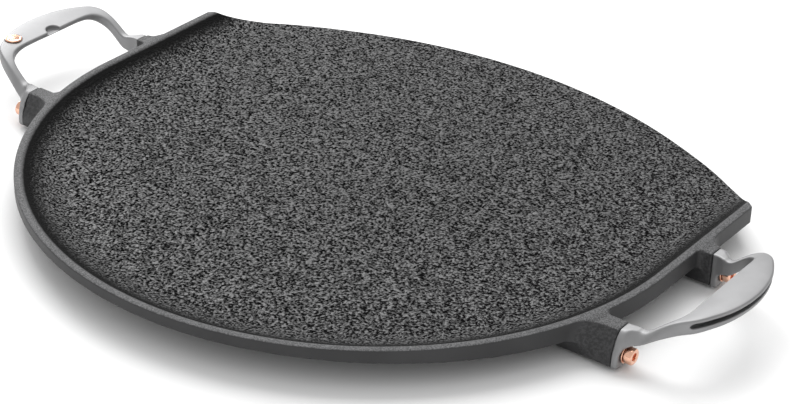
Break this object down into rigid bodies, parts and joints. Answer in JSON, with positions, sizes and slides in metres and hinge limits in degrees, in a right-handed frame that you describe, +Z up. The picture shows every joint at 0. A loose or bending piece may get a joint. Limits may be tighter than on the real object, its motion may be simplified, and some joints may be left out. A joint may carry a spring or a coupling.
{
  "type": "cast iron griddle plate",
  "caption": "Round-backed cast-iron griddle plate with a low rim, one open front edge and two bolted metal loop handles.",
  "frame": {"origin": "middle of the footprint, on the surface that the plate rests on", "axes": "+X towards the right handle, +Y towards the open front edge, +Z up"},
  "size_m": [0.4888, 0.3538, 0.036],
  "materials": {
    "cast_iron": "pebbled cast, seasoned, semi-matt",
    "satin_steel": "cast and satin polished",
    "copper": "polished copper plate"
  },
  "bodies": {
    "root": {"griddle_plate": "cast_iron", "handle_right": "satin_steel", "handle_left": "satin_steel", "screw_right_back": "copper", "screw_right_front": "copper", "screw_left_back": "copper", "screw_left_front": "copper", "washer_right_back": "copper", "washer_right_front": "copper", "washer_left_back": "copper", "washer_left_front": "copper", "medallion": "copper"}
  },
  "joints": []
}
